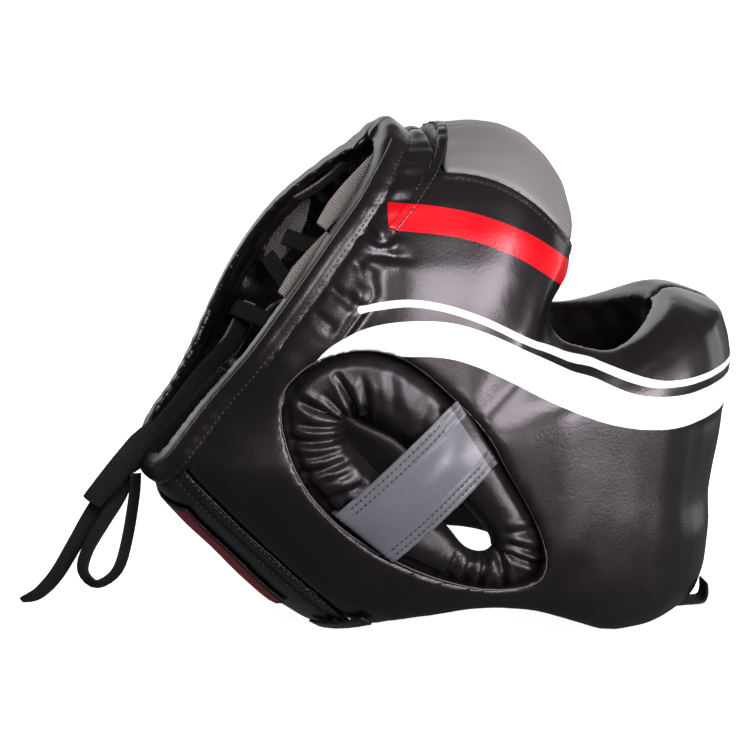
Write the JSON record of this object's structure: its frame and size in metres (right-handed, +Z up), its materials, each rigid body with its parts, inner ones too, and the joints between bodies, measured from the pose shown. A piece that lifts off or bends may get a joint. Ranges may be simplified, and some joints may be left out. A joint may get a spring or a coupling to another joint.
{
  "type": "face bar boxing headgear",
  "caption": "Padded leather boxing headgear with a broad face bar, gathered ear openings with straps, a laced crown and a hook-and-loop back.",
  "frame": {"origin": "middle of the headgear's box on the surface that it rests on, without the free lace", "axes": "+X forward through the face bar, +Y to the wearer's left, +Z up"},
  "size_m": [0.3569, 0.2014, 0.2465],
  "materials": {
    "black_leather": "semi-gloss",
    "grey_leather": "semi-gloss",
    "strap_leather": "semi-gloss",
    "red_patch": "satin",
    "black_webbing": "matt woven",
    "black_lace": "matt woven"
  },
  "bodies": {
    "root": {"crown_binding": "black_leather", "rear_panel": "black_leather", "shell_right": "black_leather", "shell_left": "black_leather", "ear_pad_right": "black_leather", "ear_pad_left": "black_leather", "collar_tape": "black_leather", "hem_tab_right": "black_leather", "hem_tab_left": "black_leather", "forehead_panel": "grey_leather", "ear_strap_right": "strap_leather", "ear_strap_left": "strap_leather", "closure_flap": "red_patch", "lace_loop_right_1": "black_webbing", "lace_loop_left_1": "black_webbing", "lace_loop_right_2": "black_webbing", "lace_loop_left_2": "black_webbing", "lace_loop_right_3": "black_webbing", "lace_loop_left_3": "black_webbing", "lace_cross_1": "black_webbing", "lace_cross_2": "black_webbing", "lace_cross_3": "black_webbing", "lace_cross_4": "black_webbing", "lace_cross_5": "black_webbing", "chin_tab": "black_webbing", "lace_end_right": "black_lace", "lace_end_left": "black_lace", "lace_knot": "black_lace", "lace_tail": "black_lace", "lace_bow": "black_lace"}
  },
  "joints": []
}
